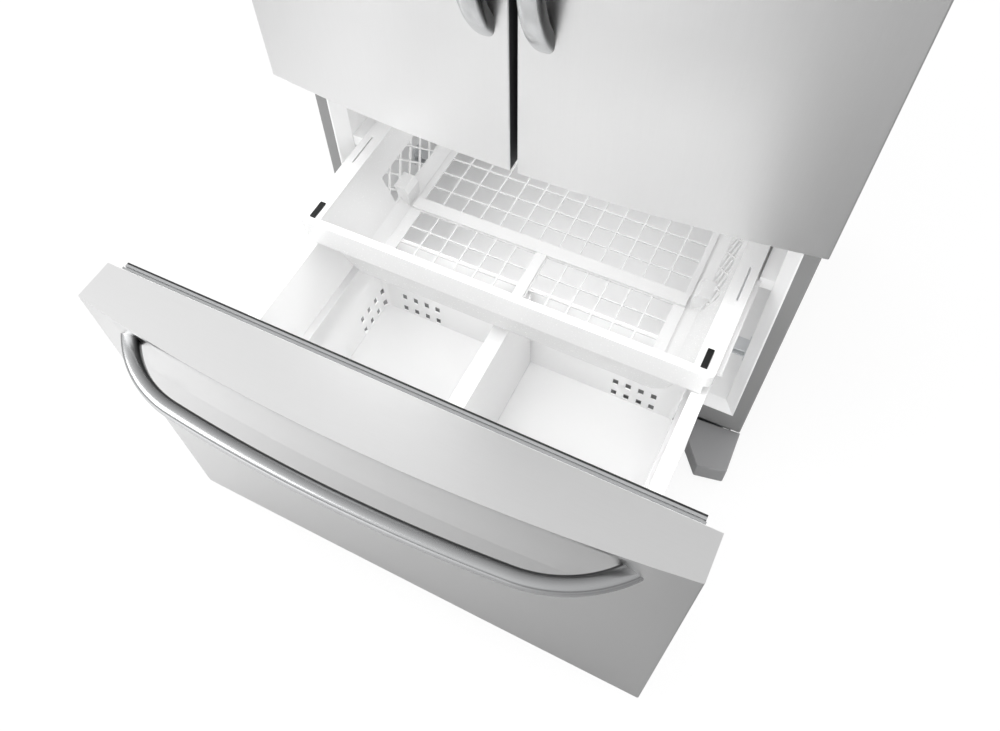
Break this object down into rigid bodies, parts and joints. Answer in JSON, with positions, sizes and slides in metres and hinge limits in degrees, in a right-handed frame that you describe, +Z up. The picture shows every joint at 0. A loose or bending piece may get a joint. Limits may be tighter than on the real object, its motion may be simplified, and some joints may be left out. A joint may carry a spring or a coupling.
{
  "type": "bottom freezer refrigerator",
  "caption": "Upright refrigerator with two bow-handled upper doors and a pull-out freezer drawer below, its drawer open with a deep bin and a sliding upper tray.",
  "frame": {"origin": "on the floor, under the middle of the case's front edge", "axes": "+X to the viewer's right when facing the doors, +Y from the doors towards the back, +Z up"},
  "size_m": [0.905, 1.339, 1.778],
  "materials": {
    "stainless": "satin, vertical grain",
    "handle_steel": "satin",
    "case_paint": "satin grey paint",
    "liner_white": "semi-gloss moulded",
    "bin_plastic": "moulded, slightly see-through",
    "clear_plastic": "clear moulded",
    "shelf_glass": "tempered, clear",
    "zinc_steel": "zinc plated",
    "grey_plastic": "grey moulded",
    "seal_grey": "soft grey vinyl",
    "black_plastic": "black moulded",
    "aluminium_coil": "bare fins",
    "compressor_black": "black enamel",
    "roller_plastic": "hard nylon"
  },
  "bodies": {
    "case": {"case_wrapper": "case_paint", "mullion": "case_paint", "fresh_food_liner": "liner_white", "freezer_liner": "liner_white", "back_panel": "zinc_steel", "base_frame": "zinc_steel", "foot_covers": "grey_plastic", "toe_grille": "grey_plastic", "compressor": "compressor_black", "condenser": "aluminium_coil", "fan_shroud": "grey_plastic", "drain_pan": "black_plastic", "rear_cover": "zinc_steel", "evaporator": "aluminium_coil", "evaporator_cover": "liner_white", "door_hinges": "zinc_steel", "hinge_covers": "grey_plastic", "shelf_frames": "liner_white", "glass_shelves": "shelf_glass", "crisper_cover": "liner_white", "control_housing": "liner_white", "lamp_lens": "clear_plastic", "drawer_slide_outer": "zinc_steel", "tray_rails": "liner_white"},
    "left_door": {"left_door_shell": "stainless", "left_door_liner": "liner_white", "left_door_gasket": "seal_grey", "left_door_bins": "clear_plastic", "left_door_handle": "handle_steel"},
    "right_door": {"right_door_shell": "stainless", "right_door_liner": "liner_white", "right_door_gasket": "seal_grey", "right_door_bins": "clear_plastic", "right_door_handle": "handle_steel"},
    "flip_bar": {"flip_mullion": "grey_plastic"},
    "freezer_drawer": {"drawer_front": "stainless", "drawer_inner_panel": "liner_white", "drawer_gasket": "seal_grey", "drawer_handle": "handle_steel", "drawer_slide_inner": "zinc_steel", "drawer_rails": "liner_white", "lower_bin": "bin_plastic", "bin_divider": "bin_plastic"},
    "slide_intermediate": {"drawer_slide_middle": "zinc_steel"},
    "sliding_tray": {"upper_tray": "bin_plastic", "tray_floor_grid": "bin_plastic"},
    "left_latch": {"tray_latch_left": "black_plastic"},
    "right_latch": {"tray_latch_right": "black_plastic"},
    "left_crisper": {"crisper_left": "clear_plastic"},
    "right_crisper": {"crisper_right": "clear_plastic"},
    "fridge_control": {"fridge_dial": "grey_plastic"},
    "freezer_control": {"freezer_dial": "grey_plastic"},
    "left_front_roller": {"front_roller_left": "roller_plastic"},
    "right_front_roller": {"front_roller_right": "roller_plastic"},
    "left_rear_roller": {"rear_roller_left": "roller_plastic"},
    "right_rear_roller": {"rear_roller_right": "roller_plastic"},
    "machine_fan": {"condenser_fan": "black_plastic"},
    "freezer_fan": {"evaporator_fan": "black_plastic"},
    "left_leg": {"levelling_leg_left": "zinc_steel"},
    "right_leg": {"levelling_leg_right": "zinc_steel"}
  },
  "joints": [
    {"name": "freezer_drawer_slide", "type": "slide", "parent": "case", "child": "freezer_drawer", "axis": [0, 1, 0], "range_m": [-0.02, 0.4874]},
    {"name": "slide_extension", "type": "slide", "parent": "case", "child": "slide_intermediate", "axis": [0, 1, 0], "range_m": [-0.01, 0.2437]},
    {"name": "tray_slide", "type": "slide", "parent": "case", "child": "sliding_tray", "axis": [0, 1, 0], "range_m": [-0.0088, 0.2131]},
    {"name": "left_door_hinge", "type": "hinge", "parent": "case", "child": "left_door", "pos_m": [-0.43, -0.038, 1.226], "axis": [0, 0, -1], "range_deg": [0, 120]},
    {"name": "right_door_hinge", "type": "hinge", "parent": "case", "child": "right_door", "pos_m": [0.43, -0.038, 1.226], "axis": [0, 0, 1], "range_deg": [0, 120]},
    {"name": "flip_bar_hinge", "type": "hinge", "parent": "left_door", "child": "flip_bar", "pos_m": [-0.024, 0.009, 1.227], "axis": [0, 0, 1], "range_deg": [0, 90]},
    {"name": "left_crisper_slide", "type": "slide", "parent": "case", "child": "left_crisper", "axis": [0, -1, 0], "range_m": [0, 0.035]},
    {"name": "right_crisper_slide", "type": "slide", "parent": "case", "child": "right_crisper", "axis": [0, -1, 0], "range_m": [0, 0.035]},
    {"name": "fridge_dial_turn", "type": "hinge", "parent": "case", "child": "fridge_control", "pos_m": [-0.08, 0.11, 1.647], "axis": [0, 0, -1], "range_deg": [0, 270]},
    {"name": "freezer_dial_turn", "type": "hinge", "parent": "case", "child": "freezer_control", "pos_m": [0.08, 0.11, 1.647], "axis": [0, 0, -1], "range_deg": [0, 270]},
    {"name": "left_latch_press", "type": "slide", "parent": "sliding_tray", "child": "left_latch", "axis": [0, 0, -1], "range_m": [0, 0.002], "stiffness_N_per_m": 400},
    {"name": "right_latch_press", "type": "slide", "parent": "sliding_tray", "child": "right_latch", "axis": [0, 0, -1], "range_m": [0, 0.002], "stiffness_N_per_m": 400},
    {"name": "left_front_roller_spin", "type": "hinge", "parent": "case", "child": "left_front_roller", "pos_m": [-0.415, 0.06, 0.019], "axis": [1, 0, 0], "continuous": true},
    {"name": "right_front_roller_spin", "type": "hinge", "parent": "case", "child": "right_front_roller", "pos_m": [0.415, 0.06, 0.019], "axis": [1, 0, 0], "continuous": true},
    {"name": "left_rear_roller_spin", "type": "hinge", "parent": "case", "child": "left_rear_roller", "pos_m": [-0.415, 0.61, 0.018], "axis": [1, 0, 0], "continuous": true},
    {"name": "right_rear_roller_spin", "type": "hinge", "parent": "case", "child": "right_rear_roller", "pos_m": [0.415, 0.61, 0.018], "axis": [1, 0, 0], "continuous": true},
    {"name": "machine_fan_spin", "type": "hinge", "parent": "case", "child": "machine_fan", "pos_m": [0.06, 0.562, 0.15], "axis": [1, 0, 0], "continuous": true},
    {"name": "freezer_fan_spin", "type": "hinge", "parent": "case", "child": "freezer_fan", "pos_m": [0, 0.536, 0.576], "axis": [0, 1, 0], "continuous": true},
    {"name": "left_leg_turn", "type": "hinge", "parent": "case", "child": "left_leg", "pos_m": [-0.41, -0.045, 0.02], "axis": [0, 0, 1], "continuous": true},
    {"name": "right_leg_turn", "type": "hinge", "parent": "case", "child": "right_leg", "pos_m": [0.41, -0.045, 0.02], "axis": [0, 0, 1], "continuous": true}
  ],
  "couplings": [
    {"joint": "slide_extension", "follows": "freezer_drawer_slide", "ratio": 0.5},
    {"joint": "tray_slide", "follows": "freezer_drawer_slide", "ratio": 0.437}
  ]
}
